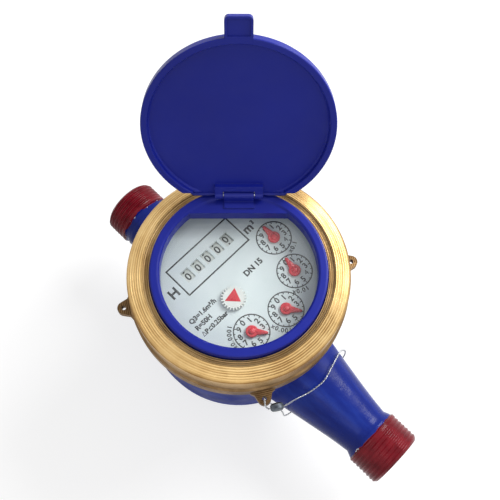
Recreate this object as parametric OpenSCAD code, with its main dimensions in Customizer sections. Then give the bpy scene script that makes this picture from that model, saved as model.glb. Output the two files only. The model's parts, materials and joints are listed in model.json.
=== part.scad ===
// Multi-jet water meter with a brass cover ring, a glazed gear register and a hinged lid.
// Heights are given above the pipe axis; every node is lifted so that the foot stands on z = 0.

/* [Pipe] */
// Overall length from one threaded end to the other
pipe_length = 165; // [160:1:180]
// Distance of the inlet end from the register axis
inlet_reach = 92.5; // [90:0.5:98]
// Height of the pipe axis above the foot
pipe_height = 38; // [36:1:44]
// Outside diameter of the threaded ends
thread_d = 26.2; // [25:0.1:28]
// Length of each threaded end
thread_length = 14; // [12:0.5:16]
// Bore of the pipe
bore_d = 15; // [13:0.5:16]
// Diameter of each neck beside its thread
neck_d = 22.6; // [21:0.2:24]
// Diameter of each neck where it leaves the bowl
neck_root_d = 38; // [36:0.2:40]

/* [Bowl] */
// Diameter of the flat foot
foot_d = 54; // [50:1:58]
// Wall of the casting
bowl_wall = 4; // [3.5:0.1:5]
// Thickness of the bowl's floor
floor_t = 5; // [4:0.5:6]
// Bore that takes the register
register_bore_d = 74; // [72:0.5:78]
// Width of the seat that the register stands on
seat_w = 3; // [2:0.1:3.5]
// Height of the register's seat
seat_height = 24; // [23:0.5:26]
// Thickness of the lip that carries the seat
seat_t = 4; // [3:0.5:5]
// Width of the ledge between the two flow annuli
ledge_w = 3.5; // [3:0.1:4]
// Thickness of that ledge
ledge_t = 5; // [4:0.5:5]
// Height of the casting's rim
rim_height = 43.8; // [43:0.2:46]
// Wall of the collar that the cover ring screws on
collar_wall = 4; // [3.5:0.1:5]
// Distance of the flange's edge inside the cover ring's
flange_inset = 1; // [0.5:0.1:1.5]
// Height of the top of that flange
flange_height = 33; // [31:0.5:34]

/* [Cover ring] */
// Wall of the ring round the collar
ring_wall = 2.7; // [2.2:0.1:3.5]
// Step from the ring's lower band in to its upper band
ring_step = 0.8; // [0.5:0.1:1.2]
// Width of the ring's face
ring_face_w = 6.3; // [5.5:0.1:7]
// Thickness of the ring's inner shelf
ring_shelf_t = 0.9; // [0.8:0.1:1.2]
// Rise of the ring's face above that shelf
ring_face_rise = 1.2; // [0.8:0.1:1.6]
// Distance of the lug holes from the ring's lower band
lug_reach = 2.8; // [2.4:0.1:3.6]
// Diameter of the lug holes
lug_hole_d = 1.8; // [1.4:0.1:2.2]
// Thickness of the lugs
lug_t = 3; // [2.5:0.1:3.5]
// Angle of the first lug from the inlet direction
lug_angle = -33; // [-36:1:-30]

/* [Glass and bezel] */
// Thickness of the gasket below the glass
gasket_t = 1; // [0.8:0.1:1.4]
// Distance of the glass's edge inside the collar's outside
glass_inset = 0.6; // [0.4:0.1:1]
// Thickness of the glass
glass_t = 4; // [3.5:0.1:5]
// Thickness of the bezel's flange
bezel_flange_t = 1.2; // [1:0.1:1.6]
// Thickness of the slip washer below the cover ring
slip_t = 0.8; // [0.6:0.1:1]
// Width of the ring's shelf that shows outside the bezel
bezel_inset = 2.7; // [2:0.1:3.5]
// Width of the bezel
bezel_w = 3.8; // [3:0.1:4.5]
// Height of the bezel above the glass
bezel_h = 6; // [5:0.2:7]
// Depth of the hinge shelf inside the bezel
shelf_w = 7; // [6:0.1:8]

/* [Lid] */
// Overhang of the lid past the bezel
lid_overhang = 1.7; // [1.3:0.1:2.8]
// Depth of the lid over all
lid_t = 4.2; // [4:0.1:4.6]
// Thickness of the lid's plate
lid_plate_t = 1.6; // [1.4:0.1:2]
// Width of the lid's rim
lid_rim_w = 2.6; // [2:0.1:3]
// Width of the lid's finger tab
tab_w = 9.8; // [8:0.2:12]
// Length of the lid's finger tab
tab_l = 7.4; // [6:0.2:9]
// Angle of the hinge from the inlet direction
hinge_angle = 135; // [130:1:140]
// Distance of the hinge axis inside the bezel's outside
hinge_inset = 4; // [3.6:0.1:4.4]
// Height of the hinge axis above the bezel
hinge_rise = 2.2; // [2.1:0.1:2.6]
// Angle at which the lid stands open
lid_open = 119; // [100:1:119]
// Diameter of the hinge knuckles
knuckle_d = 3.8; // [3.4:0.1:3.8]
// Width of the bezel's knuckle
knuckle_w = 11.8; // [10:0.2:13]
// Width of each hinge ear of the lid
ear_w = 3.2; // [2.8:0.1:4]
// Diameter of the hinge pin
hinge_pin_d = 1.8; // [1.5:0.1:2]

/* [Register] */
// Thickness of the register housing's wall
housing_wall = 1.8; // [1.5:0.1:2.2]
// Thickness of the register housing's floor
housing_floor_t = 2; // [1.8:0.1:2.4]
// Thickness of the dial plate
dial_t = 1.6; // [1.5:0.1:2]
// Distance of the dial's face below the casting's rim
dial_drop = 1.4; // [1.2:0.1:1.8]
// Radius of the circle that the four pointers stand on
pointer_circle_r = 22.2; // [21.6:0.1:22.6]
// Angle between neighbouring pointers
pointer_step = 42.7; // [41:0.1:43]
// Angle of the finest pointer from the inlet direction
pointer_angle = -32.3; // [-34:0.1:-30]
// Length of a pointer from its arbor to its tip
pointer_l = 6.4; // [5.6:0.1:6.8]
// Distance of the star wheel from the register axis
star_r = 8.6; // [8.2:0.1:9]
// Angle of the star wheel from the inlet direction
star_angle = -59; // [-62:1:-56]
// Diameter of the star wheel
star_d = 10; // [9:0.2:11]
// Thickness of the gears
gear_t = 1.4; // [1.2:0.1:1.5]
// Height between gear levels
level_step = 1.9; // [1.8:0.05:2]
// Diameter of the gear shafts
arbor_d = 2; // [1.6:0.1:2.2]
// Diameter of the gear shafts' pivots
pivot_d = 1.2; // [1:0.1:1.3]

/* [Counter] */
// Diameter of the number drums
drum_d = 12; // [11.6:0.1:12.4]
// Distance between neighbouring number drums
drum_pitch = 5.35; // [5.2:0.05:5.6]
// Width of a drum's numbered rim
drum_rim_w = 3.4; // [3.2:0.1:3.5]
// Distance of the drum shaft from the register axis
drum_offset = 15.3; // [15:0.1:15.6]
// Shift of the row of drums along its shaft
drum_shift = -2.5; // [-2.8:0.1:-2]
// Diameter of the drum shaft
drum_shaft_d = 1.8; // [1.6:0.1:2]
// Diameter of the carry shaft
carry_shaft_d = 1.4; // [1.2:0.1:1.6]

/* [Measuring chamber] */
// Gap between the measuring chamber and the ledge
chamber_gap = 3.5; // [2.5:0.1:4.5]
// Wall of the measuring chamber
chamber_wall = 2; // [1.6:0.1:2.4]
// Height of the measuring chamber's top
chamber_top = 14; // [13:0.5:15]
// Distance of the chamber's underside from the bowl's floor
chamber_lift = 4; // [3:0.5:5]
// Number of jets in each row of ports
port_count = 10; // [8:1:12]
// Diameter of the ports
port_d = 4; // [3.4:0.1:4.4]
// Gap between the impeller's blades and the chamber
blade_gap = 3; // [2:0.1:4]
// Number of impeller blades
blade_count = 7; // [5:1:9]
// Thickness of an impeller blade
blade_t = 1; // [0.8:0.1:1.4]
// Height of the impeller blades
blade_h = 14; // [12:0.5:15]
// Diameter of the impeller shaft
impeller_shaft_d = 2.4; // [2:0.1:2.6]

/* [Seal] */
// Diameter of the sealing wire
wire_d = 0.7; // [0.5:0.05:0.8]
// Diameter of the crimped seal
seal_d = 5.2; // [4.6:0.1:5.6]
// Thickness of the crimped seal
seal_t = 2.8; // [2.4:0.1:3]

/* [Clearances] */
// Radial clearance of running shafts
run_gap = 0.06; // [0.04:0.01:0.09]
// Radial clearance of pressed pieces
press_gap = 0.02; // [0.01:0.01:0.04]
// Clearance between loose pieces
free_gap = 0.3; // [0.25:0.05:0.4]

/* [Hidden] */
$fn = 72;

// Colours
paint_blue = "#2438a0";
plastic_blue = "#2a35b0";
brass = "#c79a4e";
white_plastic = "#eef0ec";
grey_plastic = "#9aa0a4";
pointer_red = "#d22a3c";
steel = "#b8bcc0";
black_rubber = "#26282a";
glass_tint = "#cfe6ea";
lead_grey = "#5d646c";

// Pipe stations along X
outlet_reach = pipe_length - inlet_reach;
thread_r = thread_d / 2;
bore_r = bore_d / 2;
inlet_root = inlet_reach - thread_length;
outlet_root = outlet_reach - thread_length;
thread_chamfer = 1.2;
neck_flare = 3;
neck_start = register_bore_d / 2 - seat_w;

// Diameters from the register's bore outwards and inwards
collar_d = register_bore_d + 2 * collar_wall;
ring_d = collar_d + 2 * (free_gap + ring_wall);
ring_top_d = ring_d - 2 * ring_step;
ring_face_d = ring_top_d - 2 * ring_face_w;
lug_radius = ring_d / 2 + lug_reach;
flange_d = ring_d - 2 * flange_inset;
glass_d = collar_d - 2 * glass_inset;
bezel_d = ring_face_d - 2 * bezel_inset;
bezel_hole_d = bezel_d - 2 * bezel_w;
shelf_offset = bezel_hole_d / 2 - shelf_w;
lid_d = bezel_d + 2 * lid_overhang;
hinge_offset = bezel_d / 2 - hinge_inset;
seat_d = register_bore_d - 2 * seat_w;
annulus_d = register_bore_d;
lower_d = seat_d;
ledge_d = lower_d - 2 * ledge_w;
chamber_d = ledge_d - 2 * (chamber_gap + chamber_wall);
impeller_d = chamber_d - 2 * blade_gap;

// Bowl heights and radii
bowl_r = annulus_d / 2 + bowl_wall;
bowl_floor = floor_t - pipe_height;
bowl_round = pipe_height;
floor_corner = 9;
bowl_side_top = 8;
flange_t = 6;

// Stack on the casting's rim
glass_bottom = rim_height + gasket_t;
glass_top = glass_bottom + glass_t;
bezel_flange_top = glass_top + bezel_flange_t;
ring_under = bezel_flange_top + slip_t;
ring_shelf = ring_under + ring_shelf_t;
ring_bottom = flange_height + 0.2;
ring_band_top = ring_bottom + 7.2;
bezel_top = glass_top + bezel_h;
hinge_height = bezel_top + hinge_rise;

// Lid, in its shut position
lid_bottom = bezel_top + free_gap;
lid_top = lid_bottom + lid_t;
lid_under = lid_top - lid_plate_t;
lid_chord = hinge_offset + 0.9;
notch_depth = knuckle_d / 2 + 0.5;
ear_start = knuckle_w / 2 + free_gap;
ear_end = ear_start + ear_w;

// Register levels
housing_r = register_bore_d / 2 - free_gap;
housing_top = rim_height - dial_drop - dial_t;
housing_floor = seat_height + housing_floor_t;
dial_face = housing_top + dial_t;
dial_r = housing_r - 0.2;
pivot_depth = 1;
function level(n) = housing_floor + 0.8 + (n - 1) * level_step;

// Gear train: an 8-leaf pinion drives 25 teeth and a 10-leaf pinion 32, a tenfold step for each pointer
pinion_teeth = 8;
idler_teeth = 25;
leaf_teeth = 10;
wheel_teeth = 32;
star_teeth = 20;
counter_teeth = 20;
pressure_angle = 20;
pinion_addendum = 0.95;
wheel_addendum = 0.52;
pinion_dedendum = 0.75;
wheel_dedendum = 1.15;
tooth_slack = 0.1;
// Module of a stage's second mesh as a share of its first
second_share = 0.8;
centre_sum = (pinion_teeth + idler_teeth) / 2 + second_share * (leaf_teeth + wheel_teeth) / 2;
centre_spread = 1.03;

function polar(r, a) = [r * cos(a), r * sin(a)];
function pointer_at(k) = polar(pointer_circle_r, pointer_angle + (k - 1) * pointer_step);
star_at = polar(star_r, star_angle);
function driver_at(k) = k == 1 ? star_at : pointer_at(k - 1);
function heading(a, b) = atan2(b[1] - a[1], b[0] - a[0]);
function first_module(k) = centre_spread * norm(pointer_at(k) - driver_at(k)) / centre_sum;
function second_module(k) = second_share * first_module(k);

// Idler of stage k: where its two centre distances meet, the first outside the row and the others inside
function idler_at(k) =
    let (a = driver_at(k), b = pointer_at(k), d = norm(b - a), u = (b - a) / d)
    let (c1 = first_module(k) * (pinion_teeth + idler_teeth) / 2)
    let (c2 = second_module(k) * (leaf_teeth + wheel_teeth) / 2)
    let (along = (d * d + c1 * c1 - c2 * c2) / (2 * d), off = sqrt(c1 * c1 - along * along))
    a + along * u + (k == 1 ? -off : off) * [-u[1], u[0]];
function first_level(k) = k % 2 == 1 ? 2 : 4;
function second_level(k) = k % 2 == 1 ? 1 : 3;
star_level = 3;
star_module = star_r / ((leaf_teeth + star_teeth) / 2);

// Counter: a worm on a short upright arbor turns the wheel of the units drum
drum_r = drum_d / 2;
drum_axis = housing_top - 0.2 - drum_r;
worm_teeth = 10;
worm_wheel_module = 0.8;
worm_pitch_r = 2;
worm_throw = 0.55;
worm_gap = worm_pitch_r + worm_teeth * worm_wheel_module / 2;
worm_h = 5.2;
worm_turn = 360 * worm_h / (PI * worm_wheel_module);
counter_module = 0.5;
counter_x = -drum_offset + worm_gap;
counter_reach = counter_module * counter_teeth;
counter_dx = counter_x - pointer_at(4)[0];
counter_at = [counter_x, pointer_at(4)[1] - sqrt(counter_reach * counter_reach - counter_dx * counter_dx)];
drum_count = 5;
function drum_y(k) = drum_shift + (3 - k) * drum_pitch;
drum_gear_teeth = 20;
drum_module = 0.5;
drum_gear_w = 0.8;
carry_ring_r = 4.2;
carry_ring_w = 0.7;
carry_reach = drum_module * (drum_gear_teeth + pinion_teeth) / 2;
carry_lean = 22;
carry_x = -drum_offset - carry_reach * cos(carry_lean);
carry_z = drum_axis - carry_reach * sin(carry_lean);
carry_gap = drum_pitch - drum_rim_w;
carry_w = carry_gap - 0.5;
cheek_t = 1.5;
cheek_in = counter_at[1] + 2;
cheek_out = drum_y(drum_count) - drum_pitch / 2 - 0.6;

// Measuring chamber
chamber_r = chamber_d / 2;
chamber_floor = bowl_floor + chamber_lift;
chamber_seal_t = 0.8;
chamber_flange_t = 2.2;
chamber_lip_r = ledge_d / 2 + 2;
cover_t = 3;
impeller_base = chamber_floor + chamber_wall + 3;
hub_r = 3.4;
hub_top = impeller_base + blade_h + 4;
pin_tip = impeller_base + 4;
shaft_foot = pin_tip + 1;
bush_r = 3;
column_r = 6;
basket_r = ledge_d / 2 - 0.5;
basket_wall = 0.8;
thimble_at = inlet_root - 8;
thimble_l = 12;
thimble_r = bore_r - 1.5;

// Sealing wire
wire_r = wire_d / 2;
wire_sides = 8;
wire_steps = 2;
lug_tangent = [-sin(lug_angle), cos(lug_angle), 0];
seal_off = 4.03;
seal_turn = 4.57;
seal_at = concat(polar(lug_radius + seal_off, lug_angle + seal_turn), [ring_bottom + 0.8]);
seal_half = (seal_d / 2 + 0.2) * lug_tangent;
// Route: out of the seal, over the lug and down its hole, round the neck and back into the seal
wire_route = [
    seal_at - 0.15 * lug_tangent, seal_at - seal_half, seal_at - 1.25 * seal_half, [41.5, -27.4, 36.6],
    [40, -26.2, 37.6],
    [39.3, -25.5, 36.8], [39.25, -25.5, 34.7], [39.3, -25.5, 32.4], [39.9, -25, 29.5],
    [41.2, -23.5, 24], [43.5, -21, 14], [45.5, -19.6, 4], [46.5, -18.3, -6], [47, -13.2, -13.7],
    [47.2, -4, -18.2], [47.4, 6, -17.6], [47.4, 13.7, -12.7], [47.2, 18.2, -4], [46.6, 18.2, 5],
    [45.8, 15.2, 11.8], [46.9, 10.4, 15.8], [48.2, 5.5, 17.8], [49.6, 0, 18.4], [49.2, -5, 17.8],
    [48, -9.6, 16.4], [47, -13.5, 18.5], [46.6, -17, 24], [46.6, -19.8, 30],
    seal_at + 1.25 * seal_half, seal_at + seal_half, seal_at + 0.15 * lug_tangent
];

// Lifts a piece from the pipe axis to its height above the foot
module on_foot() {
    translate([0, 0, pipe_height]) children();
}

// Turned shape about X from a profile of [radius, x] points
module turned_x(profile) {
    rotate([0, 90, 0]) rotate([0, 0, 180]) rotate_extrude() polygon(profile);
}

// Round bar along X, Y or Z
module bar_x(r, x0, x1) {
    translate([x0, 0, 0]) rotate([0, 90, 0]) cylinder(r = r, h = x1 - x0);
}
module bar_y(r, y0, y1) {
    translate([0, y1, 0]) rotate([90, 0, 0]) cylinder(r = r, h = y1 - y0);
}
module bar_z(r, z0, z1) {
    translate([0, 0, z0]) cylinder(r = r, h = z1 - z0);
}

// Flat ring between two heights
module washer(outer, inner, z0, z1) {
    difference() {
        bar_z(outer, z0, z1);
        bar_z(inner, z0 - 1, z1 + 1);
    }
}

// Round passage between two points of the XZ plane
module passage(r, from, to) {
    run = to - from;
    translate([from[0], 0, from[1]])
        rotate([0, atan2(run[0], run[1]), 0]) cylinder(r = r, h = norm(run));
}

// Involute gear outline with a tooth on +X
function roll(r, base) = r <= base ? 0 : sqrt(r * r / (base * base) - 1) * 180 / PI - acos(base / r);
function tooth_half(r, teeth, m) =
    let (pitch = teeth * m / 2, base = pitch * cos(pressure_angle))
    (90 / teeth) - (tooth_slack * m / pitch) * 180 / PI + roll(pitch, base) - roll(r, base);
function tooth_radii(teeth, m, up, down) =
    let (pitch = teeth * m / 2, base = pitch * cos(pressure_angle), root = pitch - down * m)
    [root, max(base, root + 0.05 * m), pitch, pitch + up * m];
module gear_outline(teeth, m, up, down) {
    radii = tooth_radii(teeth, m, up, down);
    polygon([
        for (k = [0 : teeth - 1], s = [-1, 1], j = [0 : 3])
            let (r = radii[s < 0 ? j : 3 - j], a = s * tooth_half(r, teeth, m))
            polar(r, 360 * k / teeth + a)
    ]);
}

// Gear plate of a pinion or a wheel, turned to mesh
module pinion(teeth, m, z, turn) {
    translate([0, 0, z]) rotate([0, 0, turn])
        linear_extrude(gear_t) gear_outline(teeth, m, pinion_addendum, pinion_dedendum);
}
module wheel(teeth, m, z, turn) {
    translate([0, 0, z]) rotate([0, 0, turn + 180 / teeth])
        linear_extrude(gear_t) gear_outline(teeth, m, wheel_addendum, wheel_dedendum);
}

// Upright gear shaft with a pivot at each end
module arbor(top) {
    bar_z(pivot_d / 2, housing_floor - pivot_depth, top);
    bar_z(arbor_d / 2, housing_floor + 0.3, housing_top - 0.3);
}

// Profile of a neck from the bowl to its threaded end, as [radius, distance from the register axis]
function neck_profile(root, end) = [
    [0, neck_start - 4],
    [neck_root_d / 2 + 1.2, neck_start - 4],
    for (t = [0 : 0.125 : 1])
        let (x = neck_start + t * (root - neck_flare - neck_start))
        [neck_d / 2 + (neck_root_d - neck_d) / 2 * pow(1 - t, 1.15), x],
    [thread_r - 0.5, root],
    [thread_r, root + 0.5],
    [thread_r, end - thread_chamfer],
    [thread_r - thread_chamfer, end],
    [0, end]
];

// Outline of the bowl from the foot to the collar
bowl_outline = [
    [0, -pipe_height],
    for (t = [0 : 10 : 90])
        [foot_d / 2 + (bowl_r - foot_d / 2) * sin(t), -pipe_height + bowl_round * (1 - cos(t))],
    for (t = [0 : 0.125 : 1])
        let (top = flange_height - flange_t)
        [bowl_r + (flange_d / 2 - bowl_r) * (1 - cos(90 * t)),
         bowl_side_top + (top - bowl_side_top) * sin(90 * t)],
    [flange_d / 2, flange_height - 0.8],
    [flange_d / 2 - 0.8, flange_height],
    [collar_d / 2, flange_height],
    [collar_d / 2, rim_height - 0.6],
    [collar_d / 2 - 0.6, rim_height],
    [0, rim_height]
];

// Casting: bowl, ledge, collar and both necks with their passages
module body() {
    color(paint_blue) on_foot() difference() {
        union() {
            rotate_extrude() polygon(bowl_outline);
            turned_x(neck_profile(inlet_root, inlet_reach));
            mirror([1, 0, 0]) turned_x(neck_profile(outlet_root, outlet_reach));
        }
        rotate_extrude() polygon([
            [0, bowl_floor],
            [ledge_d / 2, bowl_floor],
            [lower_d / 2, bowl_floor + floor_corner],
            [lower_d / 2, -ledge_t],
            [0, -ledge_t]
        ]);
        bar_z(ledge_d / 2, bowl_floor + 1, seat_height);
        bar_z(annulus_d / 2, 0, seat_height - seat_t);
        bar_z(seat_d / 2, 0, seat_height + 1);
        bar_z(register_bore_d / 2, seat_height, rim_height + 1);
        bar_x(bore_r, thimble_at - thimble_l - 2, inlet_reach + 1);
        passage(bore_r - 0.5, [thimble_at - thimble_l - 1, 0], [neck_start - 4, -ledge_t - bore_r - 3]);
        bar_x(bore_r, -outlet_reach - 1, -outlet_root + 8);
        passage(bore_r - 0.5, [-outlet_root + 4, 0], [-neck_start + 4, bore_r + 3]);
    }
}

// Outline of one lug: a flared foot on the ring and a round tip about its hole
lug_tip_r = 2.6;
lug_foot_w = 9.8;
lug_outline = [
    [ring_d / 2 - 1.4, -lug_foot_w / 2],
    [ring_d / 2, -lug_foot_w / 2],
    [ring_d / 2 + 0.9, -lug_tip_r - 0.9],
    for (t = [-75 : 15 : 75]) [lug_radius + lug_tip_r * cos(t), lug_tip_r * sin(t)],
    [ring_d / 2 + 0.9, lug_tip_r + 0.9],
    [ring_d / 2, lug_foot_w / 2],
    [ring_d / 2 - 1.4, lug_foot_w / 2]
];

// Brass ring that screws on the collar and holds the glass and the bezel down
module cover_ring() {
    hole_r = bezel_d / 2 + 0.5;
    thread_gap_r = collar_d / 2 + free_gap;
    crest = ring_shelf + ring_face_rise;
    color(brass) on_foot() {
        difference() {
            union() {
                rotate_extrude() polygon([
                    [thread_gap_r, ring_bottom],
                    [ring_d / 2 - 0.5, ring_bottom],
                    [ring_d / 2, ring_bottom + 0.5],
                    [ring_d / 2, ring_band_top - 0.4],
                    [ring_top_d / 2, ring_band_top + 0.4],
                    [ring_top_d / 2, crest - 2.2],
                    [ring_top_d / 2 - 0.9, crest - 1.2],
                    [ring_face_d / 2 + 0.5, crest],
                    [ring_face_d / 2, crest - 0.4],
                    [ring_face_d / 2, ring_shelf],
                    [hole_r, ring_shelf],
                    [hole_r, ring_under],
                    [thread_gap_r, ring_under]
                ]);
                for (k = [0 : 3])
                    rotate([0, 0, lug_angle + 90 * k]) translate([0, 0, ring_bottom])
                        linear_extrude(lug_t) polygon(lug_outline);
            }
            for (k = [0 : 3])
                rotate([0, 0, lug_angle + 90 * k]) translate([lug_radius, 0, 0])
                    bar_z(lug_hole_d / 2, ring_bottom - 1, ring_bottom + lug_t + 1);
        }
    }
}

module glass_gasket() {
    color(black_rubber) on_foot()
        washer(glass_d / 2 - 0.4, register_bore_d / 2, rim_height, glass_bottom);
}

module glass() {
    bevel = 0.5;
    r = glass_d / 2;
    color(glass_tint, 0.4) on_foot() rotate_extrude() polygon([
        [0, glass_bottom],
        [r - bevel, glass_bottom],
        [r, glass_bottom + bevel],
        [r, glass_top - bevel],
        [r - bevel, glass_top],
        [0, glass_top]
    ]);
}

module slip_washer() {
    color(white_plastic) on_foot()
        washer(glass_d / 2 - 0.4, bezel_d / 2 + 0.6, bezel_flange_top, ring_under);
}

// Frame of the hinge: X along the hinge's outward direction, Y along its axis
module at_hinge_side() {
    rotate([0, 0, hinge_angle]) children();
}

// Blue plastic ring round the dial, with a shelf and a knuckle for the lid
module bezel() {
    hole_r = bezel_hole_d / 2;
    round = 0.7;
    toe = shelf_offset + 1.9;
    color(plastic_blue) on_foot() difference() {
        union() {
            difference() {
                rotate_extrude() polygon([
                    [0, glass_top],
                    [glass_d / 2 - 0.4, glass_top],
                    [glass_d / 2 - 0.4, bezel_flange_top],
                    [bezel_d / 2, bezel_flange_top],
                    [bezel_d / 2, bezel_top - round],
                    [bezel_d / 2 - round * 0.3, bezel_top - round * 0.3],
                    [bezel_d / 2 - round, bezel_top],
                    [hole_r + round, bezel_top],
                    [hole_r, bezel_top - round],
                    [0, bezel_top - round]
                ]);
                difference() {
                    bar_z(hole_r, glass_top - 1, bezel_top + 1);
                    at_hinge_side() translate([shelf_offset, -hole_r, glass_top - 2])
                        cube([hole_r, 2 * hole_r, bezel_h + 4]);
                }
            }
            at_hinge_side() {
                translate([hinge_offset, 0, hinge_height]) bar_y(knuckle_d / 2, -knuckle_w / 2, knuckle_w / 2);
                translate([hinge_offset - knuckle_d / 2, -knuckle_w / 2, bezel_top - 1])
                    cube([knuckle_d, knuckle_w, hinge_rise + 1]);
                translate([toe, -knuckle_w / 2, bezel_top - 1])
                    cube([hinge_offset - toe, knuckle_w, 0.85]);
            }
        }
        at_hinge_side() translate([hinge_offset, 0, hinge_height])
            bar_y(hinge_pin_d / 2 + press_gap, -knuckle_w, knuckle_w);
    }
}

module hinge_pin() {
    color(steel) on_foot() at_hinge_side() translate([hinge_offset, 0, hinge_height])
        bar_y(hinge_pin_d / 2, -ear_end + 0.4, ear_end - 0.4);
}

// Lid in its shut position: a shallow cup with a notch for the knuckle, two ears and a tab
module lid_shut() {
    r = lid_d / 2;
    inner_r = r - lid_rim_w;
    edge = 0.8;
    frame_w = 2.2;
    notch_x = hinge_offset - notch_depth;
    frame_x = notch_x - frame_w;
    tab_edge = 1;
    tab_dip = 0.6;
    at_hinge_side() difference() {
        union() {
            difference() {
                rotate_extrude() polygon([
                    [0, lid_under],
                    [inner_r - 0.6, lid_under],
                    [inner_r, lid_under - 0.6],
                    [inner_r, lid_bottom + 0.3],
                    [inner_r + 0.3, lid_bottom],
                    [r - 0.3, lid_bottom],
                    [r, lid_bottom + 0.3],
                    [r, lid_top - edge],
                    [r - edge * 0.3, lid_top - edge * 0.3],
                    [r - edge, lid_top],
                    [0, lid_top]
                ]);
                translate([lid_chord, -r, lid_bottom - 1]) cube([r, 2 * r, lid_t + 2]);
                translate([hinge_offset - knuckle_d / 2, -r, lid_bottom - 1])
                    cube([r, 2 * r, hinge_height - lid_bottom + 1]);
            }
            translate([frame_x, -ear_end, lid_bottom + free_gap])
                cube([hinge_offset - frame_x, 2 * ear_end, lid_top - lid_bottom - free_gap - 1]);
            for (s = [-1, 1])
                translate([hinge_offset, 0, hinge_height])
                    bar_y(knuckle_d / 2, min(s * ear_start, s * ear_end), max(s * ear_start, s * ear_end));
            translate([-r - tab_l, 0, lid_bottom]) tab();
        }
        translate([notch_x, -ear_start, lid_bottom - 1]) cube([r, 2 * ear_start, lid_t + 2]);
        translate([hinge_offset, 0, hinge_height]) bar_y(hinge_pin_d / 2 + run_gap, -r, r);
        translate([-r - tab_l + tab_edge, -tab_w / 2 + tab_edge, lid_bottom - 1])
            cube([tab_l - 2 * tab_edge + 0.6, tab_w - 2 * tab_edge, 1 + tab_dip]);
    }
}

// Finger tab with rounded corners, its tip at the origin
module tab() {
    corner = 1.6;
    depth = tab_l + lid_rim_w / 2;
    tab_t = 2.2;
    linear_extrude(tab_t) polygon([
        for (t = [180 : 15 : 270]) [corner + corner * cos(t), -tab_w / 2 + corner + corner * sin(t)],
        [depth, -tab_w / 2],
        [depth, tab_w / 2],
        for (t = [90 : 15 : 180]) [corner + corner * cos(t), tab_w / 2 - corner + corner * sin(t)]
    ]);
}

module lid() {
    color(plastic_blue) on_foot() at_hinge_side() translate([hinge_offset, 0, hinge_height])
        rotate([0, lid_open, 0]) translate([-hinge_offset, 0, -hinge_height])
            rotate([0, 0, -hinge_angle]) lid_shut();
}

// Cup that carries the gear train, with a column down to the chamber cover
module register_housing() {
    color(grey_plastic) on_foot() difference() {
        union() {
            bar_z(housing_r, seat_height, housing_top);
            bar_z(column_r, chamber_top + cover_t, seat_height + 1);
        }
        bar_z(housing_r - housing_wall, housing_floor, housing_top + 1);
        bar_z(bush_r + press_gap, chamber_top, housing_floor + 1);
        for (place = arbor_places())
            translate([place[0], place[1], 0])
                bar_z(pivot_d / 2 + run_gap, housing_floor - pivot_depth - 0.2, housing_floor + 1);
    }
}

// Every upright arbor's place
function arbor_places() = concat(
    [star_at, counter_at],
    [for (k = [1 : 4]) idler_at(k)],
    [for (k = [1 : 4]) pointer_at(k)]
);

module shaft_bush() {
    color(steel) on_foot()
        washer(bush_r, impeller_shaft_d / 2 + run_gap, seat_height - 2, housing_floor);
}

// Dial with its counter windows and the bearings of the arbors
module dial_plate() {
    window_w = drum_rim_w + 0.6;
    window_h = 5.2;
    color(white_plastic) on_foot() difference() {
        bar_z(dial_r, housing_top, dial_face);
        for (k = [1 : drum_count])
            translate([-drum_offset - window_h / 2, drum_y(k) - window_w / 2, housing_top - 1])
                cube([window_h, window_w, dial_t + 2]);
        for (place = concat([star_at], [for (k = [1 : 4]) pointer_at(k)]))
            translate([place[0], place[1], 0])
                bar_z(pivot_d / 2 + run_gap, housing_top - 1, dial_face + 1);
        for (place = concat([counter_at], [for (k = [1 : 4]) idler_at(k)]))
            translate([place[0], place[1], 0])
                bar_z(pivot_d / 2 + run_gap, housing_top - 1, housing_top + pivot_depth);
    }
}

pointer_under = dial_face + 0.5;
pointer_t = 0.8;
pointer_hub_top = pointer_under + pointer_t + 0.4;
arbor_tip = pointer_under + pointer_t;

module star_arbor() {
    color(white_plastic) on_foot() translate([star_at[0], star_at[1], 0]) {
        arbor(arbor_tip);
        wheel(star_teeth, star_module, level(star_level), heading(star_at, [0, 0]));
        pinion(pinion_teeth, first_module(1), level(first_level(1)), heading(star_at, idler_at(1)));
    }
}

module star_wheel() {
    teeth = 24;
    tooth_l = 0.9;
    r = star_d / 2;
    color(white_plastic) on_foot() translate([star_at[0], star_at[1], pointer_under]) difference() {
        linear_extrude(pointer_t + 0.2) polygon([
            for (k = [0 : teeth - 1], p = [[r - tooth_l, -0.3], [r, -0.16], [r, 0.16], [r - tooth_l, 0.3]])
                polar(p[0], 360 * (k + p[1]) / teeth)
        ]);
        bar_z(pivot_d / 2 + press_gap, -1, pointer_t);
    }
}

// Idler of stage k: its wheel takes the driver's pinion, its pinion turns the next pointer's wheel
module idler(k) {
    place = idler_at(k);
    color(white_plastic) on_foot() translate([place[0], place[1], 0]) {
        arbor(housing_top + pivot_depth - 0.2);
        wheel(idler_teeth, first_module(k), level(first_level(k)), heading(place, driver_at(k)));
        pinion(leaf_teeth, second_module(k), level(second_level(k)), heading(place, pointer_at(k)));
    }
}
module idler_1() { idler(1); }
module idler_2() { idler(2); }
module idler_3() { idler(3); }
module idler_4() { idler(4); }

// Arbor of pointer k: its wheel, and the pinion or counter wheel that passes the motion on
module pointer_arbor(k) {
    place = pointer_at(k);
    color(white_plastic) on_foot() translate([place[0], place[1], 0]) {
        arbor(arbor_tip);
        wheel(wheel_teeth, second_module(k), level(second_level(k)), heading(place, idler_at(k)));
        if (k < 4)
            pinion(pinion_teeth, first_module(k + 1), level(first_level(k + 1)), heading(place, idler_at(k + 1)));
        else
            wheel(counter_teeth, counter_module, level(1), heading(place, counter_at) + 180 / counter_teeth);
    }
}
module pointer_arbor_1() { pointer_arbor(1); }
module pointer_arbor_2() { pointer_arbor(2); }
module pointer_arbor_3() { pointer_arbor(3); }
module pointer_arbor_4() { pointer_arbor(4); }

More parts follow.
